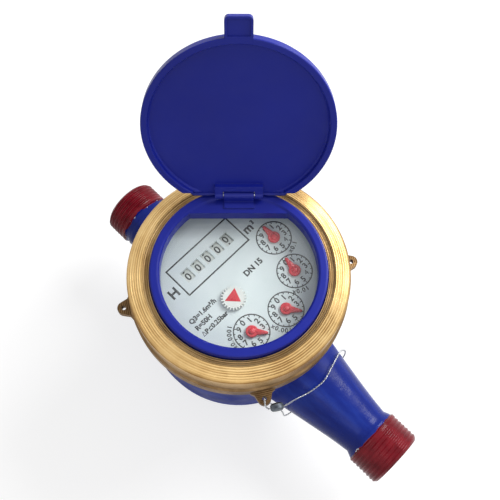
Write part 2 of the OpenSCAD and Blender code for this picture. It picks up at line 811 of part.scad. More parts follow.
// Teardrop pointer k with a raised hub, at the reading of its dial
readings = [3.9, 4, 0.3, 0.05];
function reading_angle(k) = 180 - 36 * readings[k - 1];
module pointer(k) {
    place = pointer_at(k);
    hub_r = 2.3;
    boss_r = 1.25;
    tip_r = 0.35;
    shoulder = acos((hub_r - tip_r) / (pointer_l - tip_r));
    color(pointer_red) on_foot() translate([place[0], place[1], pointer_under])
        rotate([0, 0, reading_angle(k)]) difference() {
            union() {
                linear_extrude(pointer_t) polygon([
                    for (t = [0 : 12]) polar(hub_r, shoulder + t * (360 - 2 * shoulder) / 12),
                    for (t = [-1 : 0.5 : 1]) [pointer_l - tip_r, 0] + polar(tip_r, t * shoulder)
                ]);
                bar_z(boss_r, 0, pointer_hub_top - pointer_under);
            }
            bar_z(pivot_d / 2 + press_gap, -1, pointer_t);
        }
}
module pointer_1() { pointer(1); }
module pointer_2() { pointer(2); }
module pointer_3() { pointer(3); }
module pointer_4() { pointer(4); }

// Upright arbor with the counter wheel and the worm of the units drum
module counter_arbor() {
    color(white_plastic) on_foot() translate([counter_at[0], counter_at[1], 0]) {
        arbor(housing_top + pivot_depth - 0.2);
        wheel(counter_teeth, counter_module, level(1), heading(counter_at, pointer_at(4)));
        translate([0, 0, drum_axis]) rotate([0, 0, worm_turn / 2])
            linear_extrude(worm_h, center = true, twist = worm_turn, slices = 24)
                translate([worm_throw, 0]) circle(worm_pitch_r, $fn = 16);
    }
}

// Bracket with a cheek at each end of the drum shaft
module counter_frame() {
    back = carry_x - 2;
    front = -drum_offset;
    boss_r = drum_shaft_d / 2 + 1.5;
    color(grey_plastic) on_foot() difference() {
        union() {
            translate([back, cheek_out - cheek_t, housing_floor])
                cube([front - back, cheek_in - cheek_out + 2 * cheek_t, 1]);
            for (y = [cheek_out - cheek_t, cheek_in]) {
                translate([back, y, housing_floor]) cube([front - back, cheek_t, drum_axis - housing_floor]);
                translate([-drum_offset, 0, drum_axis]) bar_y(boss_r, y, y + cheek_t);
            }
        }
        translate([-drum_offset, 0, drum_axis])
            bar_y(drum_shaft_d / 2 + press_gap, cheek_out - 2 * cheek_t, cheek_in + 2 * cheek_t);
        translate([carry_x, 0, carry_z])
            bar_y(carry_shaft_d / 2 + press_gap, cheek_out - 2 * cheek_t, cheek_in + 2 * cheek_t);
    }
}

module drum_shaft() {
    color(steel) on_foot() translate([-drum_offset, 0, drum_axis])
        bar_y(drum_shaft_d / 2, cheek_out - cheek_t, cheek_in + cheek_t);
}

module carry_shaft() {
    color(steel) on_foot() translate([carry_x, 0, carry_z])
        bar_y(carry_shaft_d / 2, cheek_out - cheek_t, cheek_in + cheek_t);
}

// Flat gear or cam plate standing across the drum shaft, its X kept and its Y turned up
module across(y0, w) {
    translate([0, y0 + w, 0]) rotate([90, 0, 0]) linear_extrude(w) children();
}

// Number drum k, 1 for the units: rim, driven gear on the right and a two-tooth carry cam on the left
module number_drum(k) {
    y = drum_y(k);
    left = y - drum_rim_w / 2;
    right = y + drum_rim_w / 2;
    sleeve_r = drum_shaft_d / 2 + 1;
    bore = drum_shaft_d / 2 + run_gap;
    mesh = 180 + carry_lean;
    carry_tooth_r = drum_module * drum_gear_teeth / 2;
    color(white_plastic) on_foot() translate([-drum_offset, 0, drum_axis]) difference() {
        union() {
            bar_y(drum_r, left, right);
            if (k > 1)
                across(right, drum_gear_w) rotate(mesh + 180 / drum_gear_teeth)
                    gear_outline(drum_gear_teeth, drum_module, wheel_addendum, wheel_dedendum);
            if (k < drum_count)
                across(left - carry_ring_w, carry_ring_w) union() {
                    circle(carry_ring_r);
                    for (a = [81, 99]) rotate(mesh + a) translate([0, -0.35]) square([carry_tooth_r, 0.7]);
                }
            if (k == 1) {
                bar_y(sleeve_r, right, counter_at[1] + 0.8);
                across(counter_at[1] - 0.8, 1.6)
                    gear_outline(worm_teeth, worm_wheel_module, 0.42, 0.95);
            }
        }
        bar_y(bore, left - 2, counter_at[1] + 2);
    }
}
module number_drum_1() { number_drum(1); }
module number_drum_2() { number_drum(2); }
module number_drum_3() { number_drum(3); }
module number_drum_4() { number_drum(4); }
module number_drum_5() { number_drum(5); }

// Carry pinion between drum k and drum k + 1
module carry_pinion(k) {
    middle = (drum_y(k) + drum_y(k + 1)) / 2;
    color(white_plastic) on_foot() translate([carry_x, 0, carry_z]) difference() {
        across(middle - carry_w / 2, carry_w) rotate(carry_lean)
            gear_outline(pinion_teeth, drum_module, 0.8, pinion_dedendum);
        bar_y(carry_shaft_d / 2 + run_gap, middle - carry_w, middle + carry_w);
    }
}
module carry_pinion_1() { carry_pinion(1); }
module carry_pinion_2() { carry_pinion(2); }
module carry_pinion_3() { carry_pinion(3); }
module carry_pinion_4() { carry_pinion(4); }

module chamber_seal() {
    color(black_rubber) on_foot() washer(chamber_lip_r, ledge_d / 2, 0, chamber_seal_t);
}

// Row of slanting ports through the chamber's wall
module ports(z, slant) {
    for (k = [0 : port_count - 1])
        rotate([0, 0, 360 * k / port_count]) translate([chamber_r + chamber_wall / 2, 0, z])
            rotate([0, 0, slant]) bar_x(port_d / 2, -2.5 * chamber_wall, 2.5 * chamber_wall);
}

// Cup that hangs on the ledge, with a row of inlet jets below and of outlet ports above
module measuring_chamber() {
    outer = chamber_r + chamber_wall;
    flange_z = chamber_seal_t;
    color(white_plastic) on_foot() difference() {
        union() {
            bar_z(outer, chamber_floor, chamber_top);
            bar_z(chamber_lip_r, flange_z, flange_z + chamber_flange_t);
        }
        bar_z(chamber_r, chamber_floor + chamber_wall, chamber_top + 1);
        bar_z(0.8 + press_gap, chamber_floor - 1, chamber_floor + chamber_wall + 1);
        ports(impeller_base + blade_h / 2, 40);
        ports(flange_z + chamber_flange_t + port_d / 2 + 1.5, -40);
    }
}

module chamber_cover() {
    color(white_plastic) on_foot() difference() {
        union() {
            bar_z(chamber_r + chamber_wall, chamber_top, chamber_top + cover_t);
            bar_z(chamber_r - free_gap, chamber_top - 1.5, chamber_top + 1);
        }
        bar_z(impeller_shaft_d / 2 + free_gap, chamber_top - 3, chamber_top + cover_t + 1);
    }
}

module pivot_pin() {
    color(steel) on_foot() bar_z(0.8, chamber_floor, pin_tip - 0.1);
}

// Impeller with flat radial blades on a long hub
module impeller() {
    color(grey_plastic) on_foot() difference() {
        union() {
            bar_z(hub_r, impeller_base, hub_top);
            for (k = [0 : blade_count - 1])
                rotate([0, 0, 360 * k / blade_count]) translate([hub_r - 1, -blade_t / 2, impeller_base + 1])
                    cube([impeller_d / 2 - hub_r + 1, blade_t, blade_h]);
        }
        bar_z(0.8 + run_gap, impeller_base - 1, pin_tip);
        bar_z(impeller_shaft_d / 2 + press_gap, shaft_foot, hub_top + 1);
    }
}

impeller_shaft_top = level(star_level) + gear_t + 0.4;

module impeller_shaft() {
    color(steel) on_foot() bar_z(impeller_shaft_d / 2, shaft_foot, impeller_shaft_top);
}

module impeller_pinion() {
    turn = heading([0, 0], star_at);
    color(white_plastic) on_foot() difference() {
        union() {
            pinion(leaf_teeth, star_module, level(star_level), turn);
            bar_z(impeller_shaft_d / 2 + 0.5, level(star_level) - 1, level(star_level) + 0.5);
        }
        bar_z(impeller_shaft_d / 2 + press_gap, level(star_level) - 2, level(star_level) + gear_t + 1);
    }
}

// Slotted basket on the bowl's floor round the measuring chamber
module strainer_basket() {
    slot_count = 24;
    slot_w = 2.4;
    slot_bottom = bowl_floor + 3;
    slot_top = -ledge_t - 4;
    color(white_plastic) on_foot() difference() {
        bar_z(basket_r, bowl_floor, -0.4);
        bar_z(basket_r - basket_wall, bowl_floor + 1, 1);
        for (k = [0 : slot_count - 1])
            rotate([0, 0, 360 * k / slot_count])
                translate([basket_r - 2 * basket_wall, -slot_w / 2, slot_bottom])
                    cube([3 * basket_wall, slot_w, slot_top - slot_bottom]);
    }
}

// Thimble strainer pushed into the inlet bore
module inlet_strainer() {
    wall = 0.8;
    hole_d = 2;
    color(white_plastic) on_foot() difference() {
        union() {
            bar_x(bore_r - press_gap, thimble_at - 1.5, thimble_at);
            bar_x(thimble_r, thimble_at - thimble_l, thimble_at);
        }
        bar_x(thimble_r - wall, thimble_at - thimble_l + wall, thimble_at + 1);
        for (row = [0 : 2], k = [0 : 7])
            translate([thimble_at - 4 - 2.8 * row, 0, 0]) rotate([45 * k + 22.5 * row, 0, 0])
                bar_z(hole_d / 2, thimble_r - 2 * wall, thimble_r + wall);
        for (k = [0 : 5])
            rotate([60 * k, 0, 0]) translate([0, 0, thimble_r / 2])
                bar_x(hole_d / 2, thimble_at - thimble_l - 1, thimble_at - thimble_l + 2 * wall);
    }
}

// Smooth route through the wire's points
function spline_at(p, i, t) =
    let (a = p[max(i - 1, 0)], b = p[i], c = p[i + 1], d = p[min(i + 2, len(p) - 1)])
    0.5 * (2 * b + (c - a) * t + (2 * a - 5 * b + 4 * c - d) * t * t + (3 * b - a - 3 * c + d) * t * t * t);
wire_path = concat(
    [for (i = [0 : len(wire_route) - 2], s = [0 : wire_steps - 1]) spline_at(wire_route, i, s / wire_steps)],
    [wire_route[len(wire_route) - 1]]
);
function unit(v) = v / norm(v);
function path_run(p, i) = unit(p[min(i + 1, len(p) - 1)] - p[max(i - 1, 0)]);

// Side direction carried along a path, so that the tube doesn't twist
function carry_side(p, i, side) =
    let (t = path_run(p, i)) unit(side - (side * t) * t);
function path_sides(p) = [
    for (i = 0, s = carry_side(p, 0, [0, 0, 1]); i < len(p);
         i = i + 1, s = carry_side(p, min(i, len(p) - 1), s)) s
];

// Tube of a given radius along a path
module tube(path, r, sides) {
    up = path_sides(path);
    last = len(path) - 1;
    rings = [
        for (i = [0 : last], k = [0 : sides - 1])
            let (a = 360 * k / sides, side = cross(path_run(path, i), up[i]))
            path[i] + r * (cos(a) * up[i] + sin(a) * side)
    ];
    walls = [
        for (i = [0 : last - 1], k = [0 : sides - 1])
            let (n = (k + 1) % sides)
            [i * sides + k, (i + 1) * sides + k, (i + 1) * sides + n, i * sides + n]
    ];
    foot = [for (k = [0 : sides - 1]) k];
    head = [for (k = [sides - 1 : -1 : 0]) last * sides + k];
    polyhedron(rings, concat(walls, [foot], [head]), convexity = 6);
}

module seal_wire() {
    color(steel) on_foot() tube(wire_path, wire_r, wire_sides);
}

// Crimped seal on the wire's two ends
module lead_seal() {
    round = 0.6;
    r = seal_d / 2;
    half = seal_t / 2;
    color(lead_grey) on_foot() translate(seal_at) rotate([0, 0, lug_angle]) difference() {
        rotate([0, 90, 0]) rotate_extrude() polygon([
            [0, -half],
            [r - round, -half],
            [r, -half + round],
            [r, half - round],
            [r - round, half],
            [0, half]
        ]);
        bar_y(wire_r + 0.06, -r - 1, r + 1);
    }
}

body();
cover_ring();
glass_gasket();
glass();
slip_washer();
bezel();
hinge_pin();
lid();
register_housing();
shaft_bush();
dial_plate();
star_arbor();
star_wheel();
idler_1();
idler_2();
idler_3();
idler_4();
pointer_arbor_1();
pointer_arbor_2();
pointer_arbor_3();
pointer_arbor_4();
pointer_1();
pointer_2();
pointer_3();
pointer_4();
counter_arbor();
counter_frame();
drum_shaft();
carry_shaft();
number_drum_1();
number_drum_2();
number_drum_3();
number_drum_4();
number_drum_5();
carry_pinion_1();
carry_pinion_2();
carry_pinion_3();
carry_pinion_4();
chamber_seal();
measuring_chamber();
chamber_cover();
pivot_pin();
impeller();
impeller_shaft();
impeller_pinion();
strainer_basket();
inlet_strainer();
seal_wire();
lead_seal();
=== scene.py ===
"""Looks of the water meter: materials, threads, print, pointers, sealing wire, light and camera."""

import json
import math

import bmesh
import bpy
import numpy as np
from mathutils import Matrix, Vector


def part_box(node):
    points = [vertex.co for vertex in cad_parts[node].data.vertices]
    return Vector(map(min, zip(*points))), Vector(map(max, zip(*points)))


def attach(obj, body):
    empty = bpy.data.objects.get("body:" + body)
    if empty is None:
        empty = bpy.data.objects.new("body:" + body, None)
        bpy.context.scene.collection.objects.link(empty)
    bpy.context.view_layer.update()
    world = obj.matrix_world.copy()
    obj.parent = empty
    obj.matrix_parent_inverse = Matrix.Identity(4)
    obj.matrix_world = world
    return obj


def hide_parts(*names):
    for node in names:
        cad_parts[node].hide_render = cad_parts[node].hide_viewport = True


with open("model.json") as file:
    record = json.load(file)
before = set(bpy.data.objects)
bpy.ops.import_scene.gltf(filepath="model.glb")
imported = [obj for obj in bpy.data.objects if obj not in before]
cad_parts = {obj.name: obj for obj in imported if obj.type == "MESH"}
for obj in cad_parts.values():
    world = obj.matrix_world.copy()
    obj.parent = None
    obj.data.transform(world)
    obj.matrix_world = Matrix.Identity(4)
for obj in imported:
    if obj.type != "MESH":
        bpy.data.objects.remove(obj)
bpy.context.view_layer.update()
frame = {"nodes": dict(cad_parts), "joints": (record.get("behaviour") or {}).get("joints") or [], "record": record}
NODES = frame["nodes"]
SCENE = bpy.context.scene

# Sizes in mm and angles in degrees, in the part's frame
MM = 0.001
PIPE_Z = 38.0

# A point on the axis of each body that moves
AXES = {joint["child"]: Vector(joint["pos_m"]) / MM for joint in frame["joints"]}

# Pipe ends and their threads
OUTLET_END, INLET_END = (corner[0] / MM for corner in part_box("body"))
THREAD_R, CORE_R, BORE_R = 13.1, 11.8, 7.5
THREAD_LENGTH, THREAD_PITCH = 14.0, 1.814
INLET_ROOT, OUTLET_ROOT = INLET_END - THREAD_LENGTH, OUTLET_END + THREAD_LENGTH
INLET_THREAD_DEPTH, OUTLET_THREAD_DEPTH = 0.38, 0.75
OUTLET_BARE = 3.0

# Brass ring: its top, the top of its darker cast band, whose brown is painted shade, and the inner radius of its
# turned face
RING_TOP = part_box("cover_ring")[1][2] / MM
RING_BAND_TOP = PIPE_Z + 40.4
RING_FACE_R = 36.9

# Dial, its print, and the readings of pointers and drums in tenths of a turn
DIAL_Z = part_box("dial_plate")[1][2] / MM
SUB_DIAL_R = 7.0
PRINT_RISE, INK_FILM = 0.03, 0.02
POINTER_READINGS = (3.9, 4.0, 0.3, 0.05)
DRUM_READINGS = (0.16, -0.07, -0.07, -0.07, -0.07)

# Camera fitted to the photograph: place in mm, directions in degrees and focal length in its pixels
CAMERA_AT = (69.1, -69.31, 332.94 + PIPE_Z)
CAMERA_YAW, CAMERA_PITCH, CAMERA_ROLL = 132.62, 69.19, -2.18
FOCAL_PX, FRAME_PX, SENSOR_MM = 775.21, 500, 36


def polar(radius, degrees):
    """Point on a circle about the origin."""
    return radius * math.cos(math.radians(degrees)), radius * math.sin(math.radians(degrees))


# Camera


def add_camera():
    """Camera of the photograph."""
    yaw, pitch, roll = (math.radians(a) for a in (CAMERA_YAW, CAMERA_PITCH, CAMERA_ROLL))
    flat = math.cos(pitch)
    look = Vector((math.cos(yaw) * flat, math.sin(yaw) * flat, -math.sin(pitch)))
    right = Vector((math.sin(yaw), -math.cos(yaw), 0))
    down = look.cross(right)
    image_x = math.cos(roll) * right + math.sin(roll) * down
    image_y = -math.sin(roll) * right + math.cos(roll) * down
    data = bpy.data.cameras.new("camera")
    data.sensor_width = SENSOR_MM
    data.lens = SENSOR_MM * FOCAL_PX / FRAME_PX
    data.clip_start = 0.01
    data.clip_end = 20
    camera = bpy.data.objects.new("camera", data)
    turn = Matrix((image_x, -image_y, -look)).transposed().to_4x4()
    camera.matrix_world = Matrix.Translation(Vector(CAMERA_AT) * MM) @ turn
    SCENE.collection.objects.link(camera)
    SCENE.camera = camera


add_camera()


# Materials


def linear(*srgb):
    """Linear colour of an sRGB colour given from 0 to 255."""
    shares = [value / 255 for value in srgb]
    return tuple(c / 12.92 if c <= 0.04045 else ((c + 0.055) / 1.055) ** 2.4 for c in shares)


class Nodes:
    """Node tree of a material or world, with short ways to add nodes to it."""

    def __init__(self, owner, output):
        owner.use_nodes = True
        self.tree = owner.node_tree
        self.tree.nodes.clear()
        self.surface = self.tree.nodes.new(output).inputs["Surface"]

    def feed(self, target, value):
        """Links an output to an input, or sets the input to a value."""
        if isinstance(value, bpy.types.NodeSocket):
            self.tree.links.new(value, target)
        elif target.type == "RGBA":
            target.default_value = (*value, 1)
        else:
            target.default_value = value

    def add(self, kind, inputs=(), output=0, **settings):
        """Adds a node, feeds its inputs by name or number and returns one of its outputs."""
        node = self.tree.nodes.new(kind)
        for key, value in settings.items():
            setattr(node, key, value)
        for key, value in dict(inputs).items():
            self.feed(node.inputs[key], value)
        return node.outputs[output]

    def math(self, operation, a, b=0.0, c=0.0):
        """Arithmetic on up to three numbers."""
        return self.add("ShaderNodeMath", {0: a, 1: b, 2: c}, operation=operation)

    def spread(self, factor, low, high, low_in=0.3, high_in=0.7):
        """Number from low to high as the factor goes from low_in to high_in."""
        inputs = {"Value": factor, "From Min": low_in, "From Max": high_in, "To Min": low, "To Max": high}
        return self.add("ShaderNodeMapRange", inputs)

    def seen_directly(self):
        """1 for rays that show the background: those of the camera, mirror images and glass."""
        path = self.tree.nodes.new("ShaderNodeLightPath").outputs
        mirrored = self.math("MAXIMUM", path["Is Camera Ray"], path["Is Glossy Ray"])
        return self.math("MAXIMUM", mirrored, path["Is Transmission Ray"])


class Shader(Nodes):
    """Material with a Principled shader."""

    def __init__(self, name, **sockets):
        self.material = bpy.data.materials.new(name)
        super().__init__(self.material, "ShaderNodeOutputMaterial")
        self.bsdf = self.tree.nodes.new("ShaderNodeBsdfPrincipled")
        self.feed(self.surface, self.bsdf.outputs[0])
        for socket, value in sockets.items():
            self.set(socket.replace("_", " "), value)
        self.where = self.add("ShaderNodeTexCoord", output="Object")

    def set(self, socket, value):
        """Feeds a socket of the shader."""
        self.feed(self.bsdf.inputs[socket], value)

    def place(self):
        """The three coordinates of a point of the surface."""
        node = self.tree.nodes.new("ShaderNodeSeparateXYZ")
        self.feed(node.inputs[0], self.where)
        return node.outputs

    def distance(self, a, b):
        """Distance from an axis, from the coordinates across it."""
        return self.math("SQRT", self.math("ADD", self.math("MULTIPLY", a, a), self.math("MULTIPLY", b, b)))

    def noise(self, scale, detail=3.0, rough=0.5, where=None):
        """Noise from 0 to 1 over the surface, or over another place."""
        inputs = {"Vector": where or self.where, "Scale": scale, "Detail": detail, "Roughness": rough}
        return self.add("ShaderNodeTexNoise", inputs)

    def ramp(self, factor, *stops):
        """Colour ramp of (position, sRGB colour) stops."""
        node = self.tree.nodes.new("ShaderNodeValToRGB")
        elements = node.color_ramp.elements
        while len(elements) < len(stops):
            elements.new(0.5)
        for element, (position, color) in zip(elements, stops):
            element.position = position
            element.color = (*linear(*color), 1)
        self.feed(node.inputs[0], factor)
        return node.outputs[0]

    def mix(self, factor, a, b):
        """Colour between two colours."""
        return self.add("ShaderNodeMix", {0: factor, 6: a, 7: b}, output=2, data_type="RGBA")

    def bump(self, *layers, edge=0.0):
        """Stacks bump layers of (height, depth in mm), over edges softened to a radius in mm."""
        normal = self.add("ShaderNodeBevel", {"Radius": edge * MM}) if edge else None
        for height, depth in layers:
            inputs = {"Height": height, "Distance": depth * MM, "Strength": 1.0}
            if normal is not None:
                inputs["Normal"] = normal
            normal = self.add("ShaderNodeBump", inputs)
        self.set("Normal", normal)


def blue_paint():
    """Gloss enamel, duller on the bowl, with red enamel over the threads whose edge carries near-white flecks:
    chips, coloured as painted glints.
    """
    s = Shader("blue_paint", Specular_IOR_Level=0.14)
    x, y, z = s.place()
    streaks = s.add("ShaderNodeMapping", {0: s.where, 3: (0.18, 1.0, 1.0)})
    blue = s.ramp(
        s.noise(110, 5, 0.6, streaks),
        (0.3, (12, 27, 104)), (0.55, (20, 40, 132)), (0.75, (34, 60, 158)),
    )
    red = s.ramp(s.noise(190, 4), (0.28, (98, 14, 24)), (0.52, (120, 22, 34)), (0.76, (140, 34, 44)))
    edge = s.math("ADD", x, s.spread(s.noise(200, 3), -0.4 * MM, 0.4 * MM))
    inlet = s.math("SUBTRACT", edge, (INLET_ROOT - 0.3) * MM)
    outlet = s.math("SUBTRACT", (OUTLET_ROOT - OUTLET_BARE + 0.1) * MM, edge)
    over = s.math("MAXIMUM", inlet, outlet)
    paint = s.mix(s.math("GREATER_THAN", over, 0.0), blue, red)
    # Near-white flecks along the red paint's edge: chips, coloured as painted glints
    near = s.math("LESS_THAN", s.math("ABSOLUTE", over), 0.28 * MM)
    chip_glints = s.math("MULTIPLY", near, s.math("GREATER_THAN", s.noise(520, 3), 0.66))
    paint = s.mix(chip_glints, paint, linear(206, 206, 212))
    iron = s.ramp(s.noise(240, 4), (0.3, (52, 46, 43)), (0.7, (84, 74, 68)))
    from_pipe_axis = s.distance(y, s.math("SUBTRACT", z, PIPE_Z * MM))
    in_bore = s.math("LESS_THAN", from_pipe_axis, (BORE_R + 0.05) * MM)
    s.set("Base Color", s.mix(in_bore, paint, iron))
    dull_within, gloss_beyond = 38 * MM, 48 * MM
    dull = s.spread(s.math("ABSOLUTE", x), 0.34, 0.0, dull_within, gloss_beyond)
    s.set("Roughness", s.math("ADD", s.spread(s.noise(90, 4), 0.17, 0.32), dull))
    s.bump((s.noise(75, 2), 0.22), (s.noise(420, 3), 0.06), (s.noise(1500, 2), 0.015))
    return s.material


def turned_brass():
    """Brass with concentric turning marks on its top face, partly darker cast brown inside that face, and down its
    wall cast brass painted darker as shade.
    """
    s = Shader("turned_brass", Metallic=1.0)
    x, y, z = s.place()
    radius = s.distance(x, y)
    lines = s.noise(2200, 2, 0.6, s.add("ShaderNodeCombineXYZ", {0: radius, 1: z}))
    wobble = s.spread(s.noise(70, 2), -0.12 * MM, 0.12 * MM)
    along = s.math("ADD", s.math("ADD", radius, wobble), s.math("MULTIPLY", z, 0.7))
    wave = s.math("SINE", s.math("MULTIPLY", along, 2 * math.pi / (0.72 * MM)))
    patch = s.spread(s.noise(26, 3), 0.25, 1.0, 0.38, 0.62)
    groove = s.math("MULTIPLY", s.math("MULTIPLY_ADD", wave, 0.5, 0.5), patch)
    tone = s.math("ADD", s.math("MULTIPLY", lines, 0.5), s.math("MULTIPLY", s.noise(60, 5, 0.65), 0.5))
    tone = s.math("ADD", tone, s.math("MULTIPLY", groove, -0.26))
    brass = s.ramp(tone, (0.24, (148, 112, 67)), (0.42, (208, 172, 114)), (0.64, (236, 207, 151)))
    # Darker cast brown: on the wall it is painted shade, standing in for the dark reflection there
    shaded_cast = s.ramp(s.noise(90, 5, 0.65), (0.3, (88, 68, 47)), (0.5, (122, 96, 66)), (0.72, (160, 131, 94)))
    height = s.math("ADD", z, wobble)
    outer = s.spread(height, 0.0, 1.0, (RING_BAND_TOP - 0.5) * MM, (RING_TOP - 0.9) * MM)
    inner = s.spread(radius, 0.45, 1.0, (RING_FACE_R - 0.1) * MM, (RING_FACE_R + 0.3) * MM)
    turned = s.math("MULTIPLY", outer, inner)
    s.set("Base Color", s.mix(turned, shaded_cast, brass))
    s.set("Roughness", s.math("SUBTRACT", s.spread(tone, 0.58, 0.42), s.math("MULTIPLY", turned, 0.13)))
    s.bump((groove, 0.2), (lines, 0.03), (s.noise(140, 3), 0.05), edge=0.35)
    return s.material


def blue_plastic():
    """Moulded semi-gloss plastic with a faint flow pattern and fine grain."""
    s = Shader("blue_plastic", Specular_IOR_Level=0.22)
    s.set("Base Color", s.ramp(s.noise(32, 4), (0.3, (24, 35, 142)), (0.7, (28, 40, 152))))
    s.set("Roughness", s.spread(s.noise(180, 4), 0.3, 0.42))
    s.bump((s.noise(60, 2), 0.02), (s.noise(2600, 2), 0.012), edge=0.6)
    return s.material


def plastic(name, low, high, rough, grain=0.01):
    """Moulded plastic between two tones."""
    s = Shader(name)
    s.set("Base Color", s.ramp(s.noise(120, 4), (0.3, low), (0.7, high)))
    s.set("Roughness", s.spread(s.noise(400, 3), rough - 0.06, rough + 0.06))
    s.bump((s.noise(1800, 2), grain))
    return s.material


def steel(name, low, high, rough):
    """Drawn metal with faint streaks."""
    s = Shader(name, Metallic=1.0)
    s.set("Base Color", s.ramp(s.noise(700, 4), (0.3, low), (0.7, high)))
    s.set("Roughness", s.spread(s.noise(900, 3), rough - 0.08, rough + 0.08))
    s.bump((s.noise(3000, 2), 0.01))
    return s.material


def clear_glass():
    """Flat glass, faintly green, with a few faint wipe marks."""
    s = Shader("clear_glass", Base_Color=(0.93, 0.975, 0.975), Transmission_Weight=1.0, IOR=1.45)
    s.set("Roughness", s.spread(s.noise(60, 5, 0.7), 0.0, 0.03, 0.5, 0.8))
    return s.material


def rubber():
    """Matt black rubber."""
    s = Shader("black_rubber")
    s.set("Base Color", s.ramp(s.noise(300, 4), (0.3, (22, 22, 23)), (0.7, (40, 40, 42))))
    s.set("Roughness", s.spread(s.noise(500, 3), 0.6, 0.8))
    s.bump((s.noise(1500, 3), 0.03))
    return s.material


MATERIALS = {
    "blue_paint": blue_paint(),
    "brass": turned_brass(),
    "blue_plastic": blue_plastic(),
    "glass": clear_glass(),
    "dial_white": plastic("dial_white", (219, 228, 227), (227, 234, 233), 0.5, 0.004),
    "white_plastic": plastic("white_plastic", (226, 227, 221), (240, 240, 235), 0.42),
    # Number drums in a greyer white: painted shade of their deep windows, as the dial casts no shadow on them
    "drum_shaded_white": plastic("drum_shaded_white", (204, 207, 204), (216, 218, 214), 0.5),
    "grey_plastic": plastic("grey_plastic", (132, 137, 140), (150, 155, 157), 0.5),
    "red_plastic": plastic("red_plastic", (212, 10, 40), (226, 22, 54), 0.3, 0.006),
    "ink": plastic("ink", (22, 26, 28), (38, 42, 44), 0.6, 0.003),
    "steel": steel("steel", (150, 152, 155), (206, 208, 210), 0.3),
    "lead": steel("lead", (70, 76, 84), (110, 116, 122), 0.5),
    "black_rubber": rubber(),
}

# Number drums get the greyer white, whose grey is painted shade
for part in frame["record"]["subparts"]:
    look = "drum_shaded_white" if part["node"].startswith("number_drum") else part["material_slot"]
    slots = NODES[part["node"]].data.materials
    slots.clear()
    slots.append(MATERIALS[look])

# Light passes the glass to the dial, and the dial to the number drums below it
NODES["glass"].visible_shadow = False
NODES["glass"].visible_diffuse = False
NODES["dial_plate"].visible_shadow = False


# Pieces


def dressed(name, mesh, material, body, sharp):
    """Object of a mesh that rides on a body, smooth except over edges sharper than an angle."""
    mesh.shade_smooth()
    mesh.set_sharp_from_angle(angle=math.radians(sharp))
    mesh.materials.append(MATERIALS[material])
    obj = bpy.data.objects.new(name, mesh)
    SCENE.collection.objects.link(obj)
    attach(obj, body)
    return obj


def piece(name, verts, faces, material, body, sharp=40):
    """Object from points in mm and faces."""
    mesh = bpy.data.meshes.new(name)
    mesh.from_pydata((np.asarray(verts, float) * MM).tolist(), [], [list(f) for f in faces])
    mesh.update()
    return dressed(name, mesh, material, body, sharp)


def grid_faces(rows, columns, first=0):
    """Quads between neighbouring rows of points, each row closed round."""
    faces = []
    for i in range(rows - 1):
        for j in range(columns):
            n = (j + 1) % columns
            a, b = first + i * columns, first + (i + 1) * columns
            faces.append((a + j, a + n, b + n, b + j))
    return faces


def smooth_step(x):
    """Eased step from 0 to 1 as x goes from 0 to 1."""
    x = min(max(x, 0.0), 1.0)
    return x * x * (3 - 2 * x)


def thread_skin(name, root, end, depth, bare=0.0):
    """Right-hand pipe thread from a neck to the pipe's end, after a bare stretch of neck.

    Paint fills the thread, so its depth is less than the real thread's.
    """
    around, along = 112, 150
    start, run_in = bare + 0.3, 2.2
    bare_drop, bare_edge = 1.15, 0.5
    root_chamfer, end_chamfer = 0.5, 1.2
    verts = []
    for i in range(along + 1):
        x = root + (end - root) * i / along
        from_root, from_end = abs(x - root), abs(end - x)
        for j in range(around):
            a = 2 * math.pi * j / around
            phase = (x / THREAD_PITCH - j / around) % 1.0
            valley = 0.5 - 0.5 * math.cos(2 * math.pi * phase)
            valley *= smooth_step((from_root - start) / run_in)
            r = THREAD_R - depth * valley - bare_drop * smooth_step((bare - from_root) / bare_edge + 0.5)
            r = min(r, THREAD_R - root_chamfer + from_root, THREAD_R - end_chamfer + from_end)
            verts.append((x, r * math.cos(a), PIPE_Z + r * math.sin(a)))
    for x, r in ((end, CORE_R - 0.05), (root, CORE_R - 0.6)):
        turns = (2 * math.pi * j / around for j in range(around))
        verts += [(x, r * math.cos(a), PIPE_Z + r * math.sin(a)) for a in turns]
    faces = grid_faces(along + 3, around)
    last = (along + 2) * around
    faces += [(last + j, last + (j + 1) % around, (j + 1) % around, j) for j in range(around)]
    if end < root:
        faces = [f[::-1] for f in faces]
    return piece(name, verts, faces, "blue_paint", "meter", 60)


def meter_body():
    """The casting, with its thread cylinders turned down to a core inside the thread skins."""
    source = bmesh.new()
    source.from_mesh(NODES["body"].data)
    bmesh.ops.remove_doubles(source, verts=source.verts, dist=1e-7)
    for v in source.verts:
        y, z = v.co.y, v.co.z - PIPE_Z * MM
        r = math.hypot(y, z) / MM
        past_root = max(v.co.x / MM - INLET_ROOT, OUTLET_ROOT - v.co.x / MM)
        if past_root > 0.1 and r > CORE_R:
            v.co.y, v.co.z = y * CORE_R / r, PIPE_Z * MM + z * CORE_R / r
    mesh = bpy.data.meshes.new("meter_body")
    source.to_mesh(mesh)
    source.free()
    obj = dressed("meter_body", mesh, "blue_paint", "meter", 32)
    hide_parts("body")
    return obj


meter_body()
thread_skin("inlet_thread_skin", INLET_ROOT, INLET_END, INLET_THREAD_DEPTH)
thread_skin("outlet_thread_skin", OUTLET_ROOT, OUTLET_END, OUTLET_THREAD_DEPTH, OUTLET_BARE)


# Dial print


